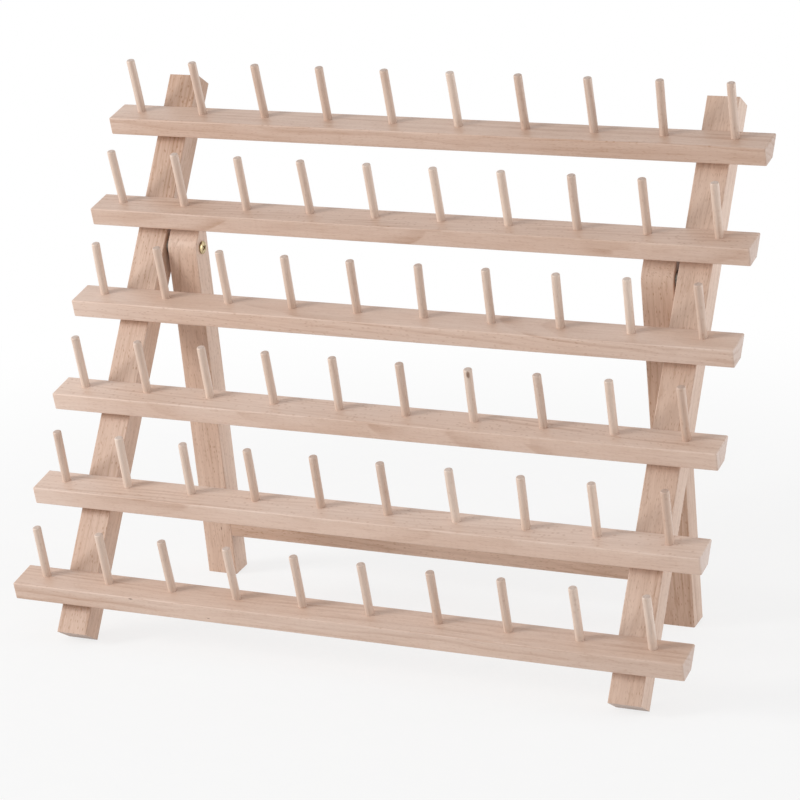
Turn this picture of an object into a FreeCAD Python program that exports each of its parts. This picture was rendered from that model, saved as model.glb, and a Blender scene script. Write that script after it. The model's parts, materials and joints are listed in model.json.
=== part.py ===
"""A folding beech rack for sixty thread spools.

Frames used below:
  stand frame  origin at the foot of the front legs' front face, X to the right,
               Y back through the legs' thickness, Z up along the leaning legs
  rear frame   origin on the pivot axis, Z up along the rear legs, Y back through them
  rail frame   origin on a rail's top front edge, Z along the pegs, Y back
The whole object stands on the plane Z = 0 with its footprint centred on the origin.
"""
import FreeCAD, Part
import Sketcher
import os

# Driving dimensions, millimetres and degrees
SIZES = [
    ("rail_count", 6),
    ("rail_length", 400.0),
    ("rail_depth", 21.0),
    ("rail_height", 10.4),
    ("rail_bevel", 44.5),
    ("rail_ease", 0.8),
    ("top_rail_drop", 19.0),
    ("lowest_rail_rise", 36.8),
    ("leg_width", 18.8),
    ("leg_thickness", 14.4),
    ("leg_length", 333.8),
    ("leg_ease", 0.6),
    ("left_leg_inset", 25.8),
    ("right_leg_inset", 23.7),
    ("pegs_per_rail", 10),
    ("peg_diameter", 4.8),
    ("peg_length", 38.3),
    ("peg_tenon_diameter", 4.4),
    ("peg_hole_depth", 6.0),
    ("peg_left_inset", 16.2),
    ("peg_right_inset", 20.2),
    ("peg_setback", 11.6),
    ("peg_tip_ease", 0.8),
    ("glue_gap", 0.05),
    ("opening_angle", 37.3),
    ("pivot_below_stop_rail", 27.2),
    ("stop_clearance", 0.25),
    ("folded_foot_rise", 25.9),
    ("mitre_round", 12.0),
    ("pivot_gap", 2.0),
    ("bar_height", 18.8),
    ("bar_above_foot", 25.3),
    ("pivot_screw_diameter", 4.0),
    ("pivot_head_diameter", 7.6),
    ("pivot_head_height", 2.0),
    ("pivot_head_rim", 0.7),
    ("pivot_head_play", 0.15),
    ("pivot_bite", 14.0),
    ("running_gap", 0.08),
    ("washer_diameter", 10.0),
    ("washer_play", 0.2),
    ("wood_screw_diameter", 3.5),
    ("wood_screw_head", 7.0),
    ("wood_screw_gap", 0.05),
    ("screw_tip", 3.0),
    ("rail_screw_bite", 5.6),
    ("rail_screw_drop", 9.6),
    ("bar_screw_bite", 21.0),
    ("recess_width", 0.9),
    ("recess_span", 3.8),
    ("recess_depth", 1.1),
    ("end_gap", 0.4),
]

# Sizes that follow from the driving ones
FORMULAS = [
    ("half_rail", "rail_length / 2"),
    ("half_leg", "leg_thickness / 2"),
    ("bevel_run", "rail_height * tan(rail_bevel)"),
    ("left_leg_x", "left_leg_inset - half_rail"),
    ("right_leg_x", "half_rail - right_leg_inset - leg_width"),
    ("rear_left_x", "left_leg_x + leg_width + pivot_gap"),
    ("rear_right_x", "right_leg_x - pivot_gap - leg_width"),
    ("bar_x", "rear_left_x + leg_width"),
    ("bar_length", "rear_right_x - bar_x"),
    ("rail_span", "leg_length - top_rail_drop - lowest_rail_rise"),
    ("rail_pitch", "rail_span / (rail_count - 1)"),
    ("stop_rail_top", "leg_length - top_rail_drop - rail_pitch"),
    ("pivot_z", "stop_rail_top - pivot_below_stop_rail"),
    ("pivot_y", "half_leg + stop_clearance"),
    ("rear_leg_reach", "pivot_z - folded_foot_rise"),
    ("mitre_front", "half_leg * (1 - cos(opening_angle)) / sin(opening_angle)"),
    ("mitre_back", "half_leg * (1 + cos(opening_angle)) / sin(opening_angle)"),
    ("foot_y", "pivot_y - half_leg * cos(opening_angle) + rear_leg_reach * sin(opening_angle)"),
    ("foot_z", "pivot_z - half_leg * sin(opening_angle) - rear_leg_reach * cos(opening_angle)"),
    ("lean", "atan(foot_z / (foot_y - leg_thickness)) / 1deg"),
    ("heel_lift", "leg_thickness * sin(lean)"),
    ("bar_bottom", "bar_above_foot - rear_leg_reach"),
    ("pegs_x", "peg_left_inset - half_rail"),
    ("peg_span", "rail_length - peg_left_inset - peg_right_inset"),
    ("peg_rise", "peg_length - peg_hole_depth"),
    ("peg_foot_ease", "(peg_diameter - peg_tenon_diameter) / 2"),
    ("pivot_screw_length", "pivot_head_play + leg_width + pivot_gap + pivot_bite"),
    ("rail_screw_length", "leg_thickness + rail_screw_bite"),
    ("bar_screw_length", "leg_width + bar_screw_bite"),
    ("countersink_depth", "(wood_screw_head - wood_screw_diameter) / 2"),
    ("wood_screw_hole", "wood_screw_diameter + 2 * wood_screw_gap"),
    ("countersink_mouth", "wood_screw_head + 2 * wood_screw_gap"),
    ("footprint_middle", "0"),
    ("stand", "placement(vector(0; -footprint_middle; heel_lift); rotation(vector(1; 0; 0); -lean))"),
    ("rear", "stand * placement(vector(0; pivot_y; pivot_z); rotation(vector(1; 0; 0); opening_angle))"),
]

X_AXIS = FreeCAD.Vector(1, 0, 0)
Z_AXIS = FreeCAD.Vector(0, 0, 1)
TURN_TO_X = "rotation(vector(0; 1; 0); 90)"
TURN_TO_MINUS_X = "rotation(vector(0; 1; 0); -90)"
TURN_TO_Y = "rotation(vector(1; 0; 0); -90)"
NO_TURN = "rotation(vector(1; 0; 0); 0)"
COUNTERSINK_ANGLE = 90
PARALLEL_LIMIT = 1e-6

doc = FreeCAD.newDocument("SpoolRack")
sheet = doc.addObject("Spreadsheet::Sheet", "Sizes")


def sized(expression):
    """The expression with every alias written as a cell of the sheet."""
    names = [name for name, _ in SIZES + FORMULAS]
    words = []
    word = ""
    for letter in expression + " ":
        if letter.isalnum() or letter == "_":
            word += letter
            continue
        words.append("Sizes." + word if word in names else word)
        words.append(letter)
        word = ""
    return "".join(words).strip()


def number(expression):
    """The value of an expression at the present sizes."""
    return float(sheet.evalExpression(sized(expression)))


def bind(target, name, expression):
    """Ties a property to the sheet."""
    target.setExpression(name, sized(expression))


def place(target, frame, x, y, z, turn=NO_TURN):
    """Puts a piece at a point of the stand, rear or a rail's frame."""
    bind(target, "Placement", f"{frame} * placement(vector({x}; {y}; {z}); {turn})")


def make_body(label):
    """A body whose label names the piece."""
    body = doc.addObject("PartDesign::Body", "Body_" + label)
    body.Label = label
    return body


def origin_feature(body, role):
    """An axis or plane of the body's own origin."""
    return next(item for item in body.Origin.OriginFeatures if item.Role == role)


def make_sketch(body, name, plane, offset="0"):
    """An empty sketch on one of the body's origin planes, moved along the plane's normal."""
    sketch = body.newObject("Sketcher::SketchObject", name)
    sketch.AttachmentSupport = [(origin_feature(body, plane), "")]
    sketch.MapMode = "FlatFace"
    bind(sketch, "AttachmentOffset.Base.z", offset)
    return sketch


def pin_point(sketch, index, position, x, y):
    """Holds a sketch point at bound distances from the sketch's origin."""
    for kind, value in (("DistanceX", x), ("DistanceY", y)):
        row = sketch.addConstraint(Sketcher.Constraint(kind, -1, 1, index, position, number(value)))
        bind(sketch, f"Constraints[{row}]", value)


def draw_outline(sketch, corners):
    """A closed outline of straight lines through bound corners."""
    points = [FreeCAD.Vector(number(x), number(y), 0) for x, y in corners]
    count = len(points)
    for index in range(count):
        sketch.addGeometry(Part.LineSegment(points[index], points[(index + 1) % count]))
    for index in range(count):
        sketch.addConstraint(Sketcher.Constraint("Coincident", index, 2, (index + 1) % count, 1))
    for index, (x, y) in enumerate(corners):
        pin_point(sketch, index, 1, x, y)


def draw_circle(sketch, x, y, diameter):
    """A circle with a bound centre and diameter."""
    centre = FreeCAD.Vector(number(x), number(y), 0)
    index = sketch.addGeometry(Part.Circle(centre, Z_AXIS, number(diameter) / 2))
    pin_point(sketch, index, 3, x, y)
    row = sketch.addConstraint(Sketcher.Constraint("Diameter", index, number(diameter)))
    bind(sketch, f"Constraints[{row}]", diameter)


def make_pad(body, sketch, length, symmetric=False):
    """A pad of the sketch along its plane's normal."""
    pad = body.newObject("PartDesign::Pad", "Pad")
    pad.Profile = sketch
    pad.Midplane = symmetric
    bind(pad, "Length", length)
    doc.recompute()
    return pad


def edges_along(shape, axis):
    """Names of the straight edges parallel to an axis."""
    names = []
    for index, edge in enumerate(shape.Edges, start=1):
        if edge.Curve.TypeId != "Part::GeomLine":
            continue
        if abs(abs(edge.Curve.Direction.dot(axis)) - 1) < PARALLEL_LIMIT:
            names.append(f"Edge{index}")
    return names


def edge_nearest(shape, names, y, z):
    """The named edge whose middle is nearest a line along X."""
    across, up = number(y), number(z)

    def distance(name):
        middle = shape.getElement(name).CenterOfMass
        return (middle.y - across) ** 2 + (middle.z - up) ** 2

    return min(names, key=distance)


def round_edges(body, base, names, radius):
    """Eases the named edges of the body's last feature."""
    fillet = body.newObject("PartDesign::Fillet", "Eased")
    fillet.Base = (base, names)
    bind(fillet, "Radius", radius)
    doc.recompute()
    return fillet


def cut_cylinder(body, name, diameter, depth, x, y, z, turn):
    """A round hole from a point of the body along a turned axis."""
    hole = body.newObject("PartDesign::SubtractiveCylinder", name)
    bind(hole, "Radius", f"({diameter}) / 2")
    bind(hole, "Height", depth)
    bind(hole, "Placement", f"placement(vector({x}; {y}; {z}); {turn})")
    doc.recompute()
    return hole


def repeat(body, features, axis, length, count):
    """Copies features of the body in a row, or the whole body where none is named."""
    pattern = body.newObject("PartDesign::LinearPattern", "Row")
    if features:
        pattern.Originals = features
    else:
        pattern.TransformMode = "Whole shape"
    pattern.Direction = (origin_feature(body, axis), [""])
    bind(pattern, "Length", length)
    bind(pattern, "Occurrences", count)
    body.Tip = pattern
    doc.recompute()
    return pattern


def cut_countersunk(body, sketch, reverse):
    """A through hole for a countersunk wood screw, its mouth at the sketch."""
    hole = body.newObject("PartDesign::Hole", "ScrewHole")
    hole.Profile = sketch
    doc.recompute()
    hole.DepthType = "ThroughAll"
    hole.Reversed = reverse
    bind(hole, "Diameter", "wood_screw_hole")
    hole.HoleCutType = "Countersink"
    hole.HoleCutCustomValues = True
    bind(hole, "HoleCutDiameter", "countersink_mouth")
    hole.HoleCutCountersinkAngle = COUNTERSINK_ANGLE
    doc.recompute()
    return hole


def make_front_leg(label, leg_x, pilot_x):
    """A square-cut front leg with its rail screw holes and the pivot screw's pilot hole."""
    body = make_body(label)
    outline = make_sketch(body, "Section", "XY_Plane")
    draw_outline(outline, [("0", "0"), ("leg_width", "0"), ("leg_width", "leg_thickness"), ("0", "leg_thickness")])
    pad = make_pad(body, outline, "leg_length")
    round_edges(body, pad, edges_along(pad.Shape, Z_AXIS), "leg_ease")
    marks = make_sketch(body, "ScrewMarks", "XZ_Plane", "-leg_thickness")
    draw_circle(marks, "leg_width / 2", "lowest_rail_rise - rail_screw_drop", "wood_screw_hole")
    hole = cut_countersunk(body, marks, True)
    repeat(body, [hole], "Z_Axis", "rail_span", "rail_count")
    cut_cylinder(
        body, "PivotPilot", "pivot_screw_diameter + 2 * wood_screw_gap", "pivot_bite + end_gap",
        pilot_x, "pivot_y", "pivot_z", TURN_TO_X,
    )
    place(body, "stand", leg_x, "0", "0")


def rail_frame(number_from_top):
    """Placement of a rail's frame, counted from the top rail."""
    top = f"(leg_length - top_rail_drop - rail_pitch * {number_from_top - 1})"
    y = "-rail_depth * cos(rail_bevel)"
    z = f"{top} - rail_depth * sin(rail_bevel)"
    return f"stand * placement(vector(0; {y}; {z}); rotation(vector(1; 0; 0); rail_bevel))"


def make_rail(index):
    """A rail: bevelled back, a row of blind peg holes and a pilot hole at each leg."""
    body = make_body(f"rail_{index}")
    section = make_sketch(body, "Section", "YZ_Plane")
    draw_outline(section, [
        ("0", "0"), ("rail_depth", "0"), ("rail_depth - bevel_run", "-rail_height"), ("0", "-rail_height"),
    ])
    pad = make_pad(body, section, "rail_length", symmetric=True)
    names = [f"Edge{number}" for number in range(1, len(pad.Shape.Edges) + 1)]
    eased = round_edges(body, pad, names, "rail_ease")
    marks = make_sketch(body, "PegMark", "XY_Plane")
    draw_circle(marks, "pegs_x", "peg_setback", "peg_tenon_diameter + 2 * glue_gap")
    holes = body.newObject("PartDesign::Pocket", "PegHole")
    holes.Profile = marks
    bind(holes, "Length", "peg_hole_depth")
    doc.recompute()
    if holes.Shape.Volume >= eased.Shape.Volume:
        raise RuntimeError("the peg hole cuts nothing")
    repeat(body, [holes], "X_Axis", "peg_span", "pegs_per_rail")
    for leg in ("left_leg_x", "right_leg_x"):
        cut_cylinder(
            body, "ScrewPilot", "wood_screw_hole", "rail_screw_bite + end_gap",
            f"{leg} + leg_width / 2",
            "rail_depth - rail_screw_drop * sin(rail_bevel)",
            "-rail_screw_drop * cos(rail_bevel)",
            "rotation(vector(1; 0; 0); 90 - rail_bevel)",
        )
    bind(body, "Placement", rail_frame(index))


def round_top_edge(body, turned, radius):
    """Rounds the outer edge of a turned piece's top."""
    edges = turned.Shape.Edges
    top = max(range(len(edges)), key=lambda edge: (edges[edge].CenterOfMass.z, edges[edge].Length))
    round_edges(body, turned, [f"Edge{top + 1}"], radius)


def make_pegs(index):
    """The row of pegs glued in one rail, each with a slimmer end in its hole."""
    body = make_body(f"pegs_{index}")
    profile = make_sketch(body, "Profile", "XZ_Plane")
    draw_outline(profile, [
        ("0", "-peg_hole_depth"), ("peg_tenon_diameter / 2", "-peg_hole_depth"), ("peg_tenon_diameter / 2", "0"),
        ("peg_diameter / 2", "peg_foot_ease"), ("peg_diameter / 2", "peg_rise"), ("0", "peg_rise"),
    ])
    turned = turn_profile(body, profile)
    round_top_edge(body, turned, "peg_tip_ease")
    repeat(body, [], "X_Axis", "peg_span", "pegs_per_rail")
    bind(body, "Placement", f"{rail_frame(index)} * placement(vector(pegs_x; peg_setback; 0); {NO_TURN})")


def make_rear_leg(label, leg_x, outer_face, screws_face_left):
    """A rear leg: mitred top with a rounded corner, pivot hole and the cross bar's screw hole."""
    body = make_body(label)
    side = make_sketch(body, "Side", "YZ_Plane")
    draw_outline(side, [
        ("-half_leg", "-rear_leg_reach"), ("-half_leg", "mitre_front"),
        ("half_leg", "mitre_back"), ("half_leg", "-rear_leg_reach"),
    ])
    pad = make_pad(body, side, "leg_width")
    corner = edge_nearest(pad.Shape, edges_along(pad.Shape, X_AXIS), "-half_leg", "mitre_front")
    shoulder = round_edges(body, pad, [corner], "mitre_round")
    round_edges(body, shoulder, edges_along(shoulder.Shape, Z_AXIS), "leg_ease")
    cut_cylinder(
        body, "PivotHole", "pivot_screw_diameter + 2 * running_gap", "leg_width", "0", "0", "0", TURN_TO_X
    )
    mark = make_sketch(body, "BarScrewMark", "YZ_Plane", outer_face)
    draw_circle(mark, "0", "bar_bottom + bar_height / 2", "wood_screw_hole")
    cut_countersunk(body, mark, screws_face_left)
    place(body, "rear", leg_x, "0", "0")


def make_cross_bar():
    """The bar between the rear legs, flush with them front and back."""
    body = make_body("cross_bar")
    side = make_sketch(body, "Side", "YZ_Plane")
    draw_outline(side, [
        ("-half_leg", "bar_bottom"), ("half_leg", "bar_bottom"),
        ("half_leg", "bar_bottom + bar_height"), ("-half_leg", "bar_bottom + bar_height"),
    ])
    pad = make_pad(body, side, "bar_length")
    round_edges(body, pad, edges_along(pad.Shape, X_AXIS), "leg_ease")
    for end in ("0", "bar_length - bar_screw_bite - end_gap"):
        cut_cylinder(
            body, "ScrewPilot", "wood_screw_hole", "bar_screw_bite + end_gap",
            end, "0", "bar_bottom + bar_height / 2", TURN_TO_X,
        )
    place(body, "rear", "bar_x", "0", "0")


def cut_recess(body, top):
    """A cross recess in a screw head whose top is at the given height."""
    for name, wide, long in (("SlotX", "recess_span", "recess_width"), ("SlotY", "recess_width", "recess_span")):
        slot = body.newObject("PartDesign::SubtractiveBox", name)
        bind(slot, "Length", wide)
        bind(slot, "Width", long)
        bind(slot, "Height", "recess_depth")
        corner = f"vector(-{wide} / 2; -{long} / 2; {top} - recess_depth)"
        bind(slot, "Placement", f"placement({corner}; {NO_TURN})")
    doc.recompute()


def turn_profile(body, sketch):
    """A solid of revolution about the body's Z axis."""
    turned = body.newObject("PartDesign::Revolution", "Turned")
    turned.Profile = sketch
    turned.ReferenceAxis = (sketch, ["V_Axis"])
    turned.Angle = 360
    doc.recompute()
    return turned


def make_wood_screw(label, length):
    """A countersunk screw with its head's top at the origin, pointing down Z."""
    body = make_body(label)
    profile = make_sketch(body, "Profile", "XZ_Plane")
    draw_outline(profile, [
        ("0", "0"), ("wood_screw_head / 2", "0"), ("wood_screw_diameter / 2", "-countersink_depth"),
        ("wood_screw_diameter / 2", f"screw_tip - {length}"), ("0", f"-{length}"),
    ])
    turn_profile(body, profile)
    cut_recess(body, "0")
    return body


def make_pivot_screw(label, head_x, turn):
    """A pan-head screw whose head bears on the rear leg and whose thread holds in the front leg."""
    body = make_body(label)
    profile = make_sketch(body, "Profile", "XZ_Plane")
    draw_outline(profile, [
        ("0", "pivot_head_height"), ("pivot_head_diameter / 4", "pivot_head_height"),
        ("pivot_head_diameter / 2", "pivot_head_rim"), ("pivot_head_diameter / 2", "0"),
        ("pivot_screw_diameter / 2", "0"), ("pivot_screw_diameter / 2", "screw_tip - pivot_screw_length"),
        ("0", "-pivot_screw_length"),
    ])
    turned = turn_profile(body, profile)
    round_top_edge(body, turned, "pivot_head_rim")
    cut_recess(body, "pivot_head_height")
    place(body, "stand", head_x, "pivot_y", "pivot_z", turn)


def make_washer(label, start_x):
    """The flat washer that keeps a rear leg clear of its front leg."""
    body = make_body(label)
    ring = make_sketch(body, "Ring", "YZ_Plane")
    draw_circle(ring, "0", "0", "washer_diameter")
    draw_circle(ring, "0", "0", "pivot_screw_diameter + 2 * running_gap")
    make_pad(body, ring, "pivot_gap - washer_play")
    place(body, "stand", start_x, "pivot_y", "pivot_z")


def make_rail_screws(label, leg_x):
    """The column of screws that holds every rail to one front leg."""
    body = make_wood_screw(label, "rail_screw_length")
    repeat(body, [], "Y_Axis", "rail_span", "rail_count")
    top_screw = "leg_length - top_rail_drop - rail_screw_drop"
    place(body, "stand", f"{leg_x} + leg_width / 2", "leg_thickness", top_screw, TURN_TO_Y)


def make_bar_screw(label, head_x, turn):
    """A screw through a rear leg into the end of the cross bar."""
    body = make_wood_screw(label, "bar_screw_length")
    place(body, "rear", head_x, "0", "bar_bottom + bar_height / 2", turn)


def fill_sheet():
    """Writes the driving sizes and the formulas that follow from them."""
    rows = [(name, str(value)) for name, value in SIZES]
    rows += [(name, "=" + formula) for name, formula in FORMULAS]
    for row, (name, text) in enumerate(rows, start=1):
        sheet.set(f"A{row}", name.replace("_", " "))
        sheet.set(f"B{row}", text)
        sheet.setAlias(f"B{row}", name)
    doc.recompute()


def build_pieces():
    """Makes every piece of the rack."""
    make_front_leg("left_front_leg", "left_leg_x", "leg_width - pivot_bite - end_gap")
    make_front_leg("right_front_leg", "right_leg_x", "0")
    for index in range(1, int(number("rail_count")) + 1):
        make_rail(index)
        make_pegs(index)
    make_rail_screws("left_rail_screws", "left_leg_x")
    make_rail_screws("right_rail_screws", "right_leg_x")
    make_rear_leg("left_rear_leg", "rear_left_x", "0", True)
    make_rear_leg("right_rear_leg", "rear_right_x", "leg_width", False)
    make_cross_bar()
    make_bar_screw("left_bar_screw", "rear_left_x", TURN_TO_MINUS_X)
    make_bar_screw("right_bar_screw", "rear_right_x + leg_width", TURN_TO_X)
    make_pivot_screw("left_pivot_screw", "bar_x + pivot_head_play", TURN_TO_X)
    make_pivot_screw("right_pivot_screw", "rear_right_x - pivot_head_play", TURN_TO_MINUS_X)
    make_washer("left_pivot_washer", "left_leg_x + leg_width")
    make_washer("right_pivot_washer", "right_leg_x - pivot_gap + washer_play")


def bodies():
    """The pieces of the document."""
    return [item for item in doc.Objects if item.TypeId == "PartDesign::Body"]


def centre_footprint():
    """Moves the origin to the middle of the footprint."""
    low = min(body.Shape.BoundBox.YMin for body in bodies())
    high = max(body.Shape.BoundBox.YMax for body in bodies())
    sheet.set(sheet.getCellFromAlias("footprint_middle"), str((low + high) / 2))
    doc.recompute()


def check_pieces():
    """Stops the script where an object failed or a piece has no sound solid."""
    for item in doc.Objects:
        if "Invalid" in item.State or "Error" in item.State:
            raise RuntimeError(f"{item.Label} failed: {item.State}")
    for body in bodies():
        if body.Shape.isNull() or not body.Shape.isValid() or not body.Shape.Solids:
            raise RuntimeError(f"{body.Label} has no valid solid")


def write_pieces():
    """Writes each piece to its own file."""
    os.makedirs("parts", exist_ok=True)
    for body in bodies():
        body.Shape.exportStep(os.path.join("parts", body.Label + ".step"))
        box = body.Shape.BoundBox
        print(
            f"{body.Label}: {len(body.Shape.Solids)} solids, {body.Shape.Volume:.0f} mm3, "
            f"y {box.YMin:.1f} to {box.YMax:.1f}, z {box.ZMin:.2f} to {box.ZMax:.1f}"
        )


fill_sheet()
build_pieces()
doc.recompute()
centre_footprint()
check_pieces()
write_pieces()
print(f"lean {number('lean'):.2f} degrees, pivot at {sheet.rear.Base}")
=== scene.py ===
"""Looks of a folding beech rack for sewing thread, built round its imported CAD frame.

Everything is in metres, in the frame of the CAD: X to the rack's right, Y back, Z up.
"""

import json
import logging
import math
import random
from dataclasses import dataclass
from enum import Enum

import bpy
from mathutils import Matrix, Vector


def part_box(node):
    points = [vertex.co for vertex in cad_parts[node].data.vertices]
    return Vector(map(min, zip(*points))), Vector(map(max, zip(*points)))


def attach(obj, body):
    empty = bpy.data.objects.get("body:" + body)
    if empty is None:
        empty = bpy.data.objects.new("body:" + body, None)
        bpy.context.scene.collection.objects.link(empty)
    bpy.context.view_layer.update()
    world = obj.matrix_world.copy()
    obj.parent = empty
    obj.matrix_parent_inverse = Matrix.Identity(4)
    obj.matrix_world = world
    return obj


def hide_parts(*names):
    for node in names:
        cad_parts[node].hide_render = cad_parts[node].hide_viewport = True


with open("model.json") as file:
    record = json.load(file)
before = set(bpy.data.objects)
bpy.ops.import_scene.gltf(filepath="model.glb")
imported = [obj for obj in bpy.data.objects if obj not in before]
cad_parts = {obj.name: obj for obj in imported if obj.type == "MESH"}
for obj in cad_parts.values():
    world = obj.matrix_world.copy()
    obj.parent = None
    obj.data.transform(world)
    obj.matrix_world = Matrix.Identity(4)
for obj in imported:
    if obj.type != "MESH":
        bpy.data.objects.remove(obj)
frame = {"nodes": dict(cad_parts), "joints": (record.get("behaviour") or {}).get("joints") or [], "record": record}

LOG = logging.getLogger("thread_rack")
MM = 0.001
LEAN = math.radians(29.5775)
RAIL_BEVEL = math.radians(44.5)
RAIL_TILT = RAIL_BEVEL - LEAN
OPENING = math.radians(37.3)
RAILS = 6
PEGS = 10
FACETS = 28
TURNS = tuple(2 * math.pi * step / FACETS for step in range(FACETS))
CREASE = math.radians(38.0)
SHADE = "peg_shade"
FRONT, REAR = "front_frame", "rear_frame"

RIGHT = Vector((1.0, 0.0, 0.0))
LEG_UP = Vector((0.0, math.sin(LEAN), math.cos(LEAN)))
LEG_BACK = Vector((0.0, math.cos(LEAN), -math.sin(LEAN)))
REAR_UP = Vector((0.0, -math.sin(OPENING - LEAN), math.cos(OPENING - LEAN)))
REAR_BACK = Vector((0.0, math.cos(OPENING - LEAN), math.sin(OPENING - LEAN)))
RAIL_BACK = Vector((0.0, math.cos(RAIL_TILT), math.sin(RAIL_TILT)))
RAIL_UP = Vector((0.0, -math.sin(RAIL_TILT), math.cos(RAIL_TILT)))

Colour = tuple[float, float, float]
Numbers = tuple[float, ...]
Socket = bpy.types.NodeSocket
Value = Socket | float | Numbers
Sockets = dict[str | int, Value]

FLOAT, VECTOR, COLOR = "NodeSocketFloat", "NodeSocketVector", "NodeSocketColor"
# The sockets of Blender's Mix node when it mixes colours.
MIX_SHARE, MIX_FIRST, MIX_SECOND, MIX_RESULT = 0, 6, 7, 2
# Noise swings about this level.
MIDDLE = 0.5
WHITE = (1.0, 1.0, 1.0, 1.0)


def linear(red: int, green: int, blue: int) -> Colour:
    """Turns a display colour into a linear one.

    Args:
        red: Red, 0 to 255.
        green: Green, 0 to 255.
        blue: Blue, 0 to 255.

    Returns:
        The linear colour.
    """
    def channel(value: int) -> float:
        """One channel in linear light, by the sRGB curve."""
        share = value / 255
        return share / 12.92 if share <= 0.04045 else ((share + 0.055) / 1.055) ** 2.4

    return channel(red), channel(green), channel(blue)


def opaque(colour: Colour) -> Numbers:
    """A colour with full alpha."""
    return (*colour, 1.0)


class Cut(Enum):
    """How a stick was sawn from the log, as the direction of the log's heart from the stick."""

    FLAT = (0.12, 0.995)
    RIFT = (0.74, 0.67)
    QUARTER = (0.995, 0.1)


@dataclass(frozen=True)
class Beech:
    """A batch of sanded beech: its grain, its thin wax and the painted shade along its edges."""

    slot: str
    pale: Colour
    dark: Colour
    ring_width: float
    ring_contrast: float
    streak: float
    fleck: float
    roughness: float
    ior: float = 1.5
    wax: float = 0.6
    wax_roughness: float = 0.38
    pore_relief: float = 0.5
    pore_depth: float = 0.06 * MM
    # Painted shade: the eased edges are darkened towards this colour, which damps the highlight the lamps put on
    # them.
    edge_shade_colour: Colour = linear(194, 164, 145)
    edge_reach: float = 0.7 * MM
    # The share of that painted shade at the edges.
    edge_shade_and_wear: float = 0.28
    speck_colour: Colour = linear(122, 84, 58)
    speck_strength: float = 0.85


@dataclass(frozen=True)
class Metal:
    """A plated or plain metal."""

    slot: str
    bright: Colour
    dull: Colour
    roughness: float
    dull_roughness: float = 0.16
    mark_relief: float = 0.35
    mark_depth: float = 0.03 * MM
    edge_reach: float = 0.35 * MM
    # On metal the edges go towards the bright colour as wear.
    edge_shade_and_wear: float = 0.6


@dataclass(frozen=True)
class Speck:
    """A dark speck: where it shows on the stick, and its reach along the grain and across it."""

    place: Numbers
    size: Numbers


@dataclass(frozen=True)
class Stick:
    """One stick of wood: the frame its grain follows and what makes it unlike its neighbours."""

    along: Vector
    across: Vector
    cut: Cut
    heart: float
    seed: float
    warmth: float
    slope: Numbers = (0.0, 0.03, 0.02)
    specks: tuple[Speck, ...] = ()

    def turn(self) -> Matrix:
        """The rotation from the CAD frame to the stick's own, whose X runs along the grain."""
        return Matrix((self.along, self.across, self.along.cross(self.across)))


RAIL_BEECH = Beech(
    slot="beech_rail", pale=linear(229, 205, 190), dark=linear(200, 168, 148),
    ring_width=3.4 * MM, ring_contrast=0.36, streak=0.5, fleck=0.7, roughness=0.5,
)
LEG_BEECH = Beech(
    slot="beech_leg", pale=linear(221, 192, 173), dark=linear(187, 151, 127),
    ring_width=3.0 * MM, ring_contrast=0.3, streak=0.75, fleck=1.0, roughness=0.5,
)
PEG_BEECH = Beech(
    slot="beech_peg", pale=linear(232, 212, 197), dark=linear(206, 178, 160),
    ring_width=2.4 * MM, ring_contrast=0.26, streak=0.5, fleck=0.4, roughness=0.44,
)
BRASS = Metal(slot="brass_screw", bright=linear(216, 196, 154), dull=linear(116, 90, 62), roughness=0.3)
ZINC = Metal(slot="steel_washer", bright=linear(178, 174, 166), dull=linear(132, 128, 121), roughness=0.45)


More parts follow.
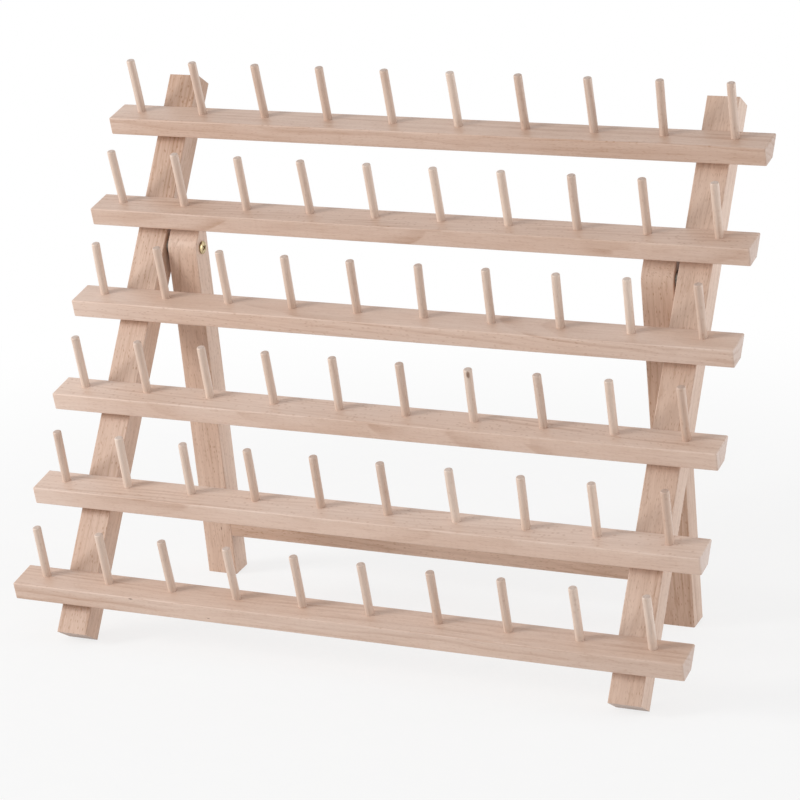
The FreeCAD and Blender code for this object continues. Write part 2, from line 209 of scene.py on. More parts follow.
class Tree:
    """A node tree that is filled by short calls."""

    def __init__(self, tree: bpy.types.NodeTree) -> None:
        """Keeps the tree to fill."""
        self.tree = tree

    def add(self, kind: str, sockets: Sockets | None = None, **settings: object) -> bpy.types.Node:
        """Adds a node, sets its properties and fills its sockets.

        Args:
            kind: The node's type name.
            sockets: What goes into each of its inputs.
            **settings: Properties of the node.

        Returns:
            The node.
        """
        node = self.tree.nodes.new(kind)
        for name, value in settings.items():
            setattr(node, name, value)
        self.fill(node, sockets or {})
        return node

    def fill(self, node: bpy.types.Node, sockets: Sockets) -> None:
        """Fills a node's inputs.

        Args:
            node: The node.
            sockets: For each named or numbered input, a socket to link or a value to set.
        """
        for socket, value in sockets.items():
            if isinstance(value, Socket):
                self.tree.links.new(value, node.inputs[socket])
            else:
                node.inputs[socket].default_value = value

    def effect(self, group: bpy.types.NodeTree, sockets: Sockets) -> bpy.types.Node:
        """Places a shared effect with its own values."""
        return self.add("ShaderNodeGroup", sockets, node_tree=group)

    def math(self, operation: str, first: Value, second: Value = 0.0, third: Value = 0.0) -> Socket:
        """A number worked out from up to three others."""
        return self.add("ShaderNodeMath", {0: first, 1: second, 2: third}, operation=operation).outputs[0]

    def heap(self, base: Value, layers: tuple[tuple[Value, Value], ...]) -> Socket:
        """Adds weighted layers to a number.

        Args:
            base: The number.
            layers: Each layer and its weight.

        Returns:
            The sum.
        """
        for layer, weight in layers:
            base = self.math("ADD", base, self.math("MULTIPLY", layer, weight))
        return base

    def swing(self, noise: Value) -> Socket:
        """Noise as its swing to either side of its middle."""
        return self.math("SUBTRACT", noise, MIDDLE)

    def vector(self, operation: str, first: Value, second: Value = (0.0, 0.0, 0.0)) -> Socket:
        """A vector worked out from two others."""
        return self.add("ShaderNodeVectorMath", {0: first, 1: second}, operation=operation).outputs[0]

    def measure(self, operation: str, first: Value, second: Value = (0.0, 0.0, 0.0)) -> Socket:
        """A number worked out from vectors, such as a length or a dot product."""
        return self.add("ShaderNodeVectorMath", {0: first, 1: second}, operation=operation).outputs["Value"]

    def split(self, vector: Value) -> list[Socket]:
        """A vector's three numbers."""
        return list(self.add("ShaderNodeSeparateXYZ", {0: vector}).outputs)

    def join(self, first: Value, second: Value, third: Value) -> Socket:
        """Three numbers as a vector."""
        return self.add("ShaderNodeCombineXYZ", {0: first, 1: second, 2: third}).outputs[0]

    def scaled(self, place: Value, scale: Numbers, shift: Value) -> Socket:
        """A place stretched by a scale per axis, then shifted."""
        return self.vector("ADD", self.vector("MULTIPLY", place, scale), shift)

    def noise(self, place: Value, detail: float, grit: float) -> bpy.types.Node:
        """Soft noise with features one unit apart."""
        values = {"Vector": place, "Scale": 1.0, "Detail": detail, "Roughness": grit}
        return self.add("ShaderNodeTexNoise", values)

    def step(self, value: Value, band: Numbers, span: Numbers = (0.0, 1.0)) -> Socket:
        """A smooth step across a band of a number, from the span's first level to its second."""
        sockets = {
            "Value": value, "From Min": band[0], "From Max": band[1], "To Min": span[0], "To Max": span[1],
        }
        return self.add("ShaderNodeMapRange", sockets, interpolation_type="SMOOTHSTEP").outputs[0]

    def mix(self, share: Value, first: Value, second: Value, blend: str = "MIX",
            clamp: bool = True) -> Socket:
        """Mixes two colours.

        Args:
            share: The second colour's share.
            first: The first colour.
            second: The second colour.
            blend: Blender's name for the way of mixing.
            clamp: False where the share may go past the two colours.

        Returns:
            The mixed colour.
        """
        sockets = {MIX_SHARE: share, MIX_FIRST: first, MIX_SECOND: second}
        node = self.add("ShaderNodeMix", sockets, data_type="RGBA", blend_type=blend, clamp_factor=clamp)
        return node.outputs[MIX_RESULT]

    def seen(self) -> Socket:
        """Tells a look from light.

        Returns:
            One for the camera's rays and for those that gloss and glass show, nought for the rest.
        """
        rays = self.add("ShaderNodeLightPath").outputs
        shown = self.math("MAXIMUM", rays["Is Camera Ray"], rays["Is Glossy Ray"])
        return self.math("MAXIMUM", shown, rays["Is Transmission Ray"])


@dataclass(frozen=True)
class Marks:
    """Marks that noise makes in a surface, and what they add where they are strong.

    The scale is in features per metre on each axis. An aside sets the marks apart from others of
    the same seed. A band makes the noise a step, over the span.
    """

    scale: Numbers
    detail: float
    grit: float = 0.5
    aside: Numbers = ()
    band: Numbers = ()
    span: Numbers = (0.0, 1.0)
    dark: float = 0.0
    rough: float = 0.0
    high: float = 0.0

    def noise(self, tree: Tree, place: Value, shift: Value) -> bpy.types.Node:
        """The marks' bare noise."""
        moved = tree.vector("ADD", shift, self.aside) if self.aside else shift
        return tree.noise(tree.scaled(place, self.scale, moved), self.detail, self.grit)

    def over(self, tree: Tree, place: Value, shift: Value = (0.0, 0.0, 0.0)) -> Socket:
        """Lays the marks over a surface.

        Args:
            tree: The tree to fill.
            place: The place on the surface.
            shift: How far the noise is moved, so that no two sticks match.

        Returns:
            How strong the marks are.
        """
        strength = self.noise(tree, place, shift).outputs[0]
        return tree.step(strength, self.band, self.span) if self.band else strength


@dataclass(frozen=True)
class Effect:
    """A shared shader effect: a node group with named inputs and outputs."""

    name: str
    inputs: tuple[tuple[str, str], ...]
    outputs: tuple[tuple[str, str], ...]

    def open(self) -> tuple[Tree, dict[str, Socket]]:
        """Makes the empty group.

        Returns:
            The group's tree and its inputs by name.
        """
        group = bpy.data.node_groups.new(self.name, "ShaderNodeTree")
        for name, kind in self.inputs:
            group.interface.new_socket(name=name, in_out="INPUT", socket_type=kind)
        for name, kind in self.outputs:
            group.interface.new_socket(name=name, in_out="OUTPUT", socket_type=kind)
        given = group.nodes.new("NodeGroupInput").outputs
        return Tree(group), {name: given[name] for name, _ in self.inputs}

    def close(self, tree: Tree, results: Sockets) -> bpy.types.NodeTree:
        """Links the results to the group's outputs.

        Args:
            tree: The filled tree.
            results: A socket for each output.

        Returns:
            The finished group.
        """
        tree.add("NodeGroupOutput", results)
        return tree.tree


@dataclass(frozen=True)
class BeechGrain:
    """Beech seen from any side: growth rings round the log's heart, fibres, pores and ray flecks.

    A place is along the grain and across it. A place in the log is along the grain, away from the
    heart and round it.
    """

    effect: Effect = Effect(
        "beech_grain",
        (("Place", VECTOR), ("Heart", VECTOR), ("Slope", VECTOR), ("Seed", FLOAT), ("End", FLOAT),
         ("Ring Width", FLOAT), ("Ring Contrast", FLOAT), ("Streak", FLOAT), ("Fleck", FLOAT),
         ("Pale", COLOR), ("Dark", COLOR), ("Warmth", FLOAT)),
        (("Color", COLOR), ("Roughness", FLOAT), ("Height", FLOAT)),
    )
    seed_turn: float = 1.7
    seed_spread: Numbers = (37.0, 41.0, 43.0)
    wander: Marks = Marks((9.0, 26.0, 26.0), 2.0)
    wander_reach: Numbers = (0.0, 7.5 * MM, 7.5 * MM)
    round_scale: float = 0.06

    ring_waver: Marks = Marks((3.0, 160.0, 5.0), 1.0)
    waver_rings: float = 1.6
    late_wood: Numbers = (0.35, 0.93)
    ring_end: Numbers = (0.93, 1.0)
    ring_tone: Marks = Marks((2.0, 330.0, 3.0), 0.0, band=(0.25, 0.75), span=(0.3, 1.4))
    ring_patch: Marks = Marks((16.0, 110.0, 110.0), 1.0, aside=(3.0, 7.0, 1.0), band=(0.35, 0.65),
                              span=(0.25, 1.25))

    streak: Marks = Marks((14.0, 620.0, 620.0), 3.0, grit=0.6, rough=0.16, high=0.4)
    fibre: Marks = Marks((110.0, 3600.0, 3600.0), 2.0, grit=0.6, dark=0.5, high=0.55)
    dash: Marks = Marks((75.0, 900.0, 900.0), 2.0, grit=0.55, band=(0.52, 0.68), dark=0.42)
    vessel: Marks = Marks((420.0, 5200.0, 5200.0), 1.0, band=(0.6, 0.74), dark=0.16, high=-0.6)
    drift: Marks = Marks((7.0, 26.0, 26.0), 2.0, dark=1.35)
    base_dark: float = 0.3
    dark_limits: Numbers = (-0.25, 1.5)

    ray_cell: Numbers = (290.0, 330.0, 2300.0)
    ray_chosen: Numbers = (0.15, 0.6)
    ray_edge: Numbers = (0.12, 0.36)
    ray_dark: float = 0.78
    ray_rough: float = -0.1
    ray_high: float = -0.25

    tan_patch: Marks = Marks((11.0, 60.0, 60.0), 1.0, aside=(9.0, 5.0, 2.0), band=(0.35, 0.7),
                             span=(0.0, 0.5))
    tan_tint: Numbers = (1.02, 0.985, 0.95, 1.0)
    end_tint: Numbers = (0.86, 0.88, 0.92, 1.0)
    end_rough: float = 0.12

    def build(self) -> bpy.types.NodeTree:
        """Makes the shared effect.

        Returns:
            The node group.
        """
        tree, given = self.effect.open()
        seed = given["Seed"]
        seeds = tree.join(seed, tree.math("MULTIPLY", seed, self.seed_turn), seed)
        shift = tree.vector("MULTIPLY", seeds, self.seed_spread)
        wander = self.wander.noise(tree, given["Place"], shift).outputs[1]
        bend = tree.vector("SUBTRACT", wander, (MIDDLE, MIDDLE, MIDDLE))
        place = tree.vector("ADD", given["Place"], tree.vector("MULTIPLY", bend, self.wander_reach))
        in_log, radius = self.find_in_log(tree, given, place)
        ring = self.rings(tree, given, place, in_log, radius, shift)
        ray = self.rays(tree, given, in_log, shift)
        layers = (self.streak, self.fibre, self.dash, self.vessel, self.drift)
        streak, fibre, dash, vessel, drift = (marks.over(tree, place, shift) for marks in layers)
        share = tree.heap(ring, (
            (tree.swing(streak), given["Streak"]),
            (tree.swing(fibre), self.fibre.dark),
            (vessel, self.vessel.dark),
            (dash, tree.math("MULTIPLY", given["Streak"], self.dash.dark)),
            (ray, self.ray_dark),
            (tree.swing(drift), self.drift.dark),
        ))
        share = tree.math("ADD", share, tree.math("ADD", given["Warmth"], self.base_dark))
        low, high = self.dark_limits
        share = tree.add("ShaderNodeClamp", {0: share, 1: low, 2: high}).outputs[0]
        colour = tree.mix(share, given["Pale"], given["Dark"], clamp=False)
        tan = tree.mix(self.tan_patch.over(tree, place, shift), WHITE, self.tan_tint)
        colour = tree.mix(1.0, colour, tan, "MULTIPLY")
        roughness = tree.heap(tree.math("MULTIPLY", tree.swing(streak), self.streak.rough), (
            (ray, self.ray_rough), (given["End"], self.end_rough),
        ))
        height = tree.heap(tree.math("MULTIPLY", fibre, self.fibre.high), (
            (vessel, self.vessel.high), (streak, self.streak.high), (ray, self.ray_high),
        ))
        return self.effect.close(tree, {
            "Color": tree.mix(given["End"], colour, tree.mix(1.0, colour, self.end_tint, "MULTIPLY")),
            "Roughness": roughness,
            "Height": height,
        })

    def find_in_log(self, tree: Tree, given: dict[str, Socket], place: Socket) -> tuple[Socket, Socket]:
        """Finds where a place on the stick was in the log.

        Args:
            tree: The tree to fill.
            given: The group's inputs.
            place: The place on the stick, bent by the grain's wander.

        Returns:
            The place in the log, and its distance from the heart.
        """
        far = tree.split(given["Place"])[0]
        run_out = tree.vector("MULTIPLY", tree.join(0.0, far, far), given["Slope"])
        along, across, up = tree.split(tree.vector("ADD", place, run_out))
        heart = tree.split(given["Heart"])
        side = tree.math("SUBTRACT", across, heart[1])
        rise = tree.math("SUBTRACT", up, heart[2])
        radius = tree.measure("LENGTH", tree.join(0.0, side, rise))
        angle = tree.math("ARCTAN2", rise, side)
        return tree.join(along, radius, tree.math("MULTIPLY", angle, self.round_scale)), radius

    def rings(self, tree: Tree, given: dict[str, Socket], place: Socket, in_log: Socket, radius: Socket,
              shift: Socket) -> Socket:
        """Draws the growth rings, which fade from late wood to none and from patch to patch.

        Args:
            tree: The tree to fill.
            given: The group's inputs.
            place: The place on the stick.
            in_log: The place in the log.
            radius: The distance from the heart.
            shift: How far the noise is moved.

        Returns:
            How dark the rings are.
        """
        count = tree.math("DIVIDE", radius, given["Ring Width"])
        waver = self.ring_waver.over(tree, in_log, shift)
        phase = tree.math("FRACT", tree.heap(count, ((waver, self.waver_rings),)))
        late = tree.step(phase, self.late_wood)
        ring = tree.math("MULTIPLY", late, tree.step(phase, self.ring_end, (1.0, 0.0)))
        ring = tree.math("MULTIPLY", ring, given["Ring Contrast"])
        ring = tree.math("MULTIPLY", ring, self.ring_tone.over(tree, in_log, shift))
        return tree.math("MULTIPLY", ring, self.ring_patch.over(tree, place, shift))

    def rays(self, tree: Tree, given: dict[str, Socket], in_log: Socket, shift: Socket) -> Socket:
        """Draws the ray flecks: short dark dashes where the saw cut the rays.

        Args:
            tree: The tree to fill.
            given: The group's inputs.
            in_log: The place in the log.
            shift: How far the flecks are moved.

        Returns:
            How dark the flecks are.
        """
        place = tree.scaled(in_log, self.ray_cell, shift)
        cells = tree.add("ShaderNodeTexVoronoi", {"Vector": place, "Scale": 1.0, "Randomness": 1.0}).outputs
        draw = tree.add("ShaderNodeSeparateColor", {0: cells["Color"]}).outputs[0]
        chosen = tree.step(draw, self.ray_chosen)
        ray = tree.math("MULTIPLY", tree.step(cells["Distance"], self.ray_edge, (1.0, 0.0)), chosen)
        return tree.math("MULTIPLY", ray, given["Fleck"])


@dataclass(frozen=True)
class SoftenedEdge:
    """Where an edge is eased, in patches: one on the edges, nought on the flats. Beech takes painted shade there,
    metal its wear.
    """

    effect: Effect = Effect("softened_edge", (("Reach", FLOAT), ("Place", VECTOR)), (("Mask", FLOAT),))
    samples: int = 4
    corner: Numbers = (0.01, 0.2)
    patches: Marks = Marks((90.0, 260.0, 260.0), 2.0, band=(0.3, 0.7), span=(0.45, 1.0))

    def build(self) -> bpy.types.NodeTree:
        """Makes the shared effect.

        Returns:
            The node group.
        """
        tree, given = self.effect.open()
        rounded = tree.add("ShaderNodeBevel", {"Radius": given["Reach"]}, samples=self.samples).outputs[0]
        flat = tree.add("ShaderNodeNewGeometry").outputs["Normal"]
        open_angle = tree.math("SUBTRACT", 1.0, tree.measure("DOT_PRODUCT", rounded, flat))
        patches = self.patches.over(tree, given["Place"])
        mask = tree.math("MULTIPLY", tree.step(open_angle, self.corner), patches)
        return self.effect.close(tree, {"Mask": mask})


@dataclass(frozen=True)
class PinKnot:
    """A small dark speck in the wood, with a ragged rim."""

    effect: Effect = Effect(
        "pin_knot", (("Place", VECTOR), ("Centre", VECTOR), ("Size", VECTOR)), (("Mask", FLOAT),),
    )
    rim: Marks = Marks((900.0, 1700.0, 1700.0), 2.0)
    rim_reach: float = 0.5
    fade: Numbers = (0.35, 1.0)

    def build(self) -> bpy.types.NodeTree:
        """Makes the shared effect.

        Returns:
            The node group.
        """
        tree, given = self.effect.open()
        reach = tree.vector("DIVIDE", tree.vector("SUBTRACT", given["Place"], given["Centre"]), given["Size"])
        rim = tree.math("MULTIPLY", self.rim.over(tree, given["Place"]), self.rim_reach)
        rim = tree.math("SUBTRACT", rim, self.rim_reach * MIDDLE)
        spread = tree.math("ADD", tree.measure("LENGTH", reach), rim)
        return self.effect.close(tree, {"Mask": tree.step(spread, self.fade, (1.0, 0.0))})


@dataclass
class Workshop:
    """The shared effects, and the finished materials made from them."""

    end_angle: Numbers = (0.75, 0.95)
    peg_seeds: float = 9.0
    peg_warmths: float = 0.6
    tarnish: Marks = Marks((420.0, 420.0, 420.0), 4.0, grit=0.6, band=(0.42, 0.72))
    lathe_marks: Marks = Marks((300.0, 5200.0, 5200.0), 2.0, dark=0.25)

    def __post_init__(self) -> None:
        """Builds each shared effect once."""
        self.grain = BeechGrain().build()
        self.edge = SoftenedEdge().build()
        self.knot = PinKnot().build()

    def start(self, name: str) -> tuple[Tree, bpy.types.Material, bpy.types.Node]:
        """Makes an empty material.

        Args:
            name: The material's name.

        Returns:
            Its tree, the material and its shader.
        """
        material = bpy.data.materials.new(name)
        material.use_nodes = True
        material.node_tree.nodes.clear()
        tree = Tree(material.node_tree)
        shader = tree.add("ShaderNodeBsdfPrincipled")
        tree.add("ShaderNodeOutputMaterial", {"Surface": shader.outputs[0]})
        return tree, material, shader

    def beech(self, name: str, wood: Beech, stick: Stick, origin: Vector,
              per_peg: bool = False) -> bpy.types.Material:
        """Beech cut as one stick.

        Args:
            name: The material's name.
            wood: The batch of beech.
            stick: The stick's own grain frame and character.
            origin: Where the grain frame starts.
            per_peg: True where the mesh says how each peg differs.

        Returns:
            The material.
        """
        tree, material, shader = self.start(name)
        turn = stick.turn()
        surface = tree.add("ShaderNodeTexCoord").outputs
        place = tree.add("ShaderNodeMapping", {
            "Vector": surface["Object"], "Rotation": turn.to_euler("XYZ"), "Location": -(turn @ origin),
        }).outputs[0]
        facing = tree.math("ABSOLUTE", tree.measure("DOT_PRODUCT", surface["Normal"], tuple(stick.along)))
        seed, warmth = stick.seed, stick.warmth
        if per_peg:
            own = tree.add("ShaderNodeAttribute", attribute_name=SHADE).outputs["Fac"]
            seed = tree.math("MULTIPLY_ADD", own, self.peg_seeds, seed)
            warmth = tree.math("MULTIPLY_ADD", own, self.peg_warmths, warmth - self.peg_warmths / 2)
        away, aside = stick.cut.value
        grain = tree.effect(self.grain, {
            "Place": place, "Heart": (0.0, away * stick.heart, aside * stick.heart), "Slope": stick.slope,
            "Seed": seed, "End": tree.step(facing, self.end_angle), "Ring Width": wood.ring_width,
            "Ring Contrast": wood.ring_contrast, "Streak": wood.streak, "Fleck": wood.fleck,
            "Pale": opaque(wood.pale), "Dark": opaque(wood.dark), "Warmth": warmth,
        }).outputs
        colour = grain["Color"]
        for speck in stick.specks:
            spot = {"Place": place, "Centre": turn @ (Vector(speck.place) - origin), "Size": speck.size}
            mask = tree.effect(self.knot, spot).outputs["Mask"]
            strength = tree.math("MULTIPLY", mask, wood.speck_strength)
            colour = tree.mix(strength, colour, opaque(wood.speck_colour))
        # Painted shade: the eased edges are mixed towards a darker colour, damping the highlight the lamps put on
        # them.
        edge_mask = tree.effect(self.edge, {"Reach": wood.edge_reach, "Place": place}).outputs["Mask"]
        shade_and_wear = tree.math("MULTIPLY", edge_mask, wood.edge_shade_and_wear)
        relief = {"Height": grain["Height"], "Strength": wood.pore_relief, "Distance": wood.pore_depth}
        tree.fill(shader, {
            "Base Color": tree.mix(shade_and_wear, colour, opaque(wood.edge_shade_colour)),
            "Roughness": tree.math("ADD", grain["Roughness"], wood.roughness),
            "Normal": tree.add("ShaderNodeBump", relief).outputs[0],
            "IOR": wood.ior,
            "Coat Weight": wood.wax,
            "Coat Roughness": wood.wax_roughness,
        })
        return material

    def metal(self, name: str, plate: Metal) -> bpy.types.Material:
        """Plated metal with fine turning marks, edges bright with wear and dull patches.

        Args:
            name: The material's name.
            plate: The metal.

        Returns:
            The material.
        """
        tree, material, shader = self.start(name)
        place = tree.add("ShaderNodeTexCoord").outputs["Object"]
        edge_mask = tree.effect(self.edge, {"Reach": plate.edge_reach, "Place": place}).outputs["Mask"]
        marks = self.lathe_marks.over(tree, place)
        dull = tree.heap(self.tarnish.over(tree, place), ((marks, self.lathe_marks.dark),))
        colour = tree.mix(dull, opaque(plate.bright), opaque(plate.dull))
        shade_and_wear = tree.math("MULTIPLY", edge_mask, plate.edge_shade_and_wear)
        relief = {"Height": marks, "Strength": plate.mark_relief, "Distance": plate.mark_depth}
        rough = tree.math("MULTIPLY", dull, plate.dull_roughness)
        tree.fill(shader, {
            "Base Color": tree.mix(shade_and_wear, colour, opaque(plate.bright)),
            "Roughness": tree.math("ADD", rough, plate.roughness),
            "Normal": tree.add("ShaderNodeBump", relief).outputs[0],
            "Metallic": 1.0,
        })
        return material


def dress(node: str, material: bpy.types.Material) -> None:
    """Gives a CAD node its finish.

    Args:
        node: The node's name.
        material: The finish.
    """
    piece = frame["nodes"][node]
    piece.data.materials.clear()
    piece.data.materials.append(material)
    LOG.info("dressed %s with %s", node, material.name)


def stand_in(piece: bpy.types.Object, node: str, body: str, material: bpy.types.Material) -> None:
    """Puts a modelled piece in the place of its CAD node.

    Args:
        piece: The modelled piece.
        node: The CAD node that it stands for.
        body: The body that carries it.
        material: Its finish.
    """
    piece.data.materials.append(material)
    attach(piece, body)
    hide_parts(node)
    LOG.info("modelled %s for %s", piece.name, node)


def cut_out(piece: bpy.types.Object, tool: bpy.types.Object) -> None:
    """Cuts one mesh out of another and removes the tool.

    Args:
        piece: The piece to cut.
        tool: The shape to take away.
    """
    cut = piece.modifiers.new("recess", "BOOLEAN")
    cut.operation = "DIFFERENCE"
    cut.solver = "EXACT"
    cut.object = tool
    whole = piece.evaluated_get(bpy.context.evaluated_depsgraph_get())
    mesh = bpy.data.meshes.new_from_object(whole)
    piece.modifiers.clear()
    piece.data = mesh
    bpy.data.objects.remove(tool)


def spoke(side: Vector, other: Vector, turn: float) -> Vector:
    """The direction at an angle from one axis towards another."""
    return side * math.cos(turn) + other * math.sin(turn)


def cross(reach: float, half: float) -> list[tuple[float, float]]:
    """Draws a cross.

    Args:
        reach: How far its arms reach.
        half: Half the width of an arm.

    Returns:
        Its twelve corners, in order round it.
    """
    corners = [(reach, half), (half, half), (half, reach)]
    for _ in range(3):
        corners += [(-y, x) for x, y in corners[-3:]]
    return corners


class Shape:
    """Points and faces of a mesh that grows piece by piece."""

    def __init__(self) -> None:
        """Starts with nothing."""
        self.points: list[Vector] = []
        self.faces: list[tuple[int, ...]] = []
        self.shades: list[float] = []

    def turned(self, rings: list[list[Vector]], shade: float = 0.0) -> None:
        """Adds a closed skin over rings of points, each end closed by a fan.

        Args:
            rings: Rings of equal length, from one end of the piece to the other.
            shade: The piece's own shade, 0 to 1.
        """
        start, count = len(self.points), len(rings[0])
        for ring in rings:
            self.points.extend(ring)
        for row in range(len(rings) - 1):
            low = start + row * count
            for step in range(count):
                after = (step + 1) % count
                self.faces.append((low + step, low + after, low + count + after, low + count + step))
        ends = ((rings[0], start, True), (rings[-1], start + (len(rings) - 1) * count, False))
        for ring, first, flip in ends:
            self.points.append(sum(ring, Vector()) / count)
            middle = len(self.points) - 1
            for step in range(count):
                after = (step + 1) % count
                low, high = (after, step) if flip else (step, after)
                self.faces.append((first + low, first + high, middle))
        self.shades.extend([shade] * (len(self.points) - start))

    def piece(self, name: str) -> bpy.types.Object:
        """Makes the object.

        Args:
            name: The object's name.

        Returns:
            The object, with smooth faces and its shades kept on the mesh.
        """
        mesh = bpy.data.meshes.new(name)
        mesh.from_pydata(self.points, [], self.faces)
        mesh.attributes.new(SHADE, "FLOAT", "POINT").data.foreach_set("value", self.shades)
        mesh.shade_smooth()
        mesh.set_sharp_from_angle(angle=CREASE)
        piece = bpy.data.objects.new(name, mesh)
        bpy.context.scene.collection.objects.link(piece)
        return piece


@dataclass
class Sticks:
    """CAD nodes that are plain sticks of one batch of beech."""

    wood: Beech
    sticks: tuple[tuple[str, Stick], ...]

    def build(self, shop: Workshop) -> None:
        """Dresses every stick.

        Args:
            shop: The shared effects.
        """
        for node, stick in self.sticks:
            low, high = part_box(node)
            material = shop.beech(f"{node}_beech", self.wood, stick, (low + high) / 2)
            dress(node, material)


@dataclass
class Rails(Sticks):
    """The six rails: sticks of beech along X, tipped back so that their tops look forward a little."""

    wood: Beech = RAIL_BEECH
    sticks: tuple[tuple[str, Stick], ...] = (
        ("rail_1", Stick(RIGHT, RAIL_BACK, Cut.RIFT, 0.05, 3.1, 0.36, (0.0, 0.03, -0.02))),
        ("rail_2", Stick(RIGHT, RAIL_BACK, Cut.QUARTER, 0.035, 4.47, 0.2, (0.0, -0.06, 0.03))),
        ("rail_3", Stick(RIGHT, RAIL_BACK, Cut.FLAT, 0.045, 5.84, 0.08, (0.0, 0.02, 0.05))),
        ("rail_4", Stick(RIGHT, RAIL_BACK, Cut.QUARTER, 0.04, 7.21, -0.12, (0.0, 0.07, 0.03))),
        ("rail_5", Stick(RIGHT, RAIL_BACK, Cut.QUARTER, 0.035, 8.58, -0.2, (0.0, -0.045, -0.02))),
        ("rail_6", Stick(RIGHT, RAIL_BACK, Cut.RIFT, 0.04, 9.95, 0.2, (0.0, 0.02, -0.03), specks=(
            Speck((-0.1238, -0.08930, 0.0329), (1.9 * MM, 1.4 * MM, 0.6 * MM)),
            Speck((-0.0760, -0.08760, 0.0264), (1.2 * MM, 1.2 * MM, 0.35 * MM)),
        ))),
    )


@dataclass
class Legs(Sticks):
    """The front legs, rear legs and cross bar."""

    wood: Beech = LEG_BEECH
    sticks: tuple[tuple[str, Stick], ...] = (
        ("left_front_leg", Stick(LEG_UP, LEG_BACK, Cut.FLAT, 0.05, 1.3, 0.34)),
        ("right_front_leg", Stick(LEG_UP, LEG_BACK, Cut.RIFT, 0.06, 2.9, 0.02)),
        ("left_rear_leg", Stick(REAR_UP, REAR_BACK, Cut.RIFT, 0.07, 5.2, -0.2, specks=(
            Speck((-0.1411, 0.0496, 0.0293), (1.6 * MM, 1.2 * MM, 0.5 * MM)),
        ))),
        ("right_rear_leg", Stick(REAR_UP, REAR_BACK, Cut.FLAT, 0.045, 6.1, 0.2)),
        ("cross_bar", Stick(RIGHT, REAR_BACK, Cut.RIFT, 0.06, 7.7, 0.1, specks=(
            Speck((-0.0160, 0.0490, 0.0337), (2.0 * MM, 1.2 * MM, 0.5 * MM)),
        ))),
    )


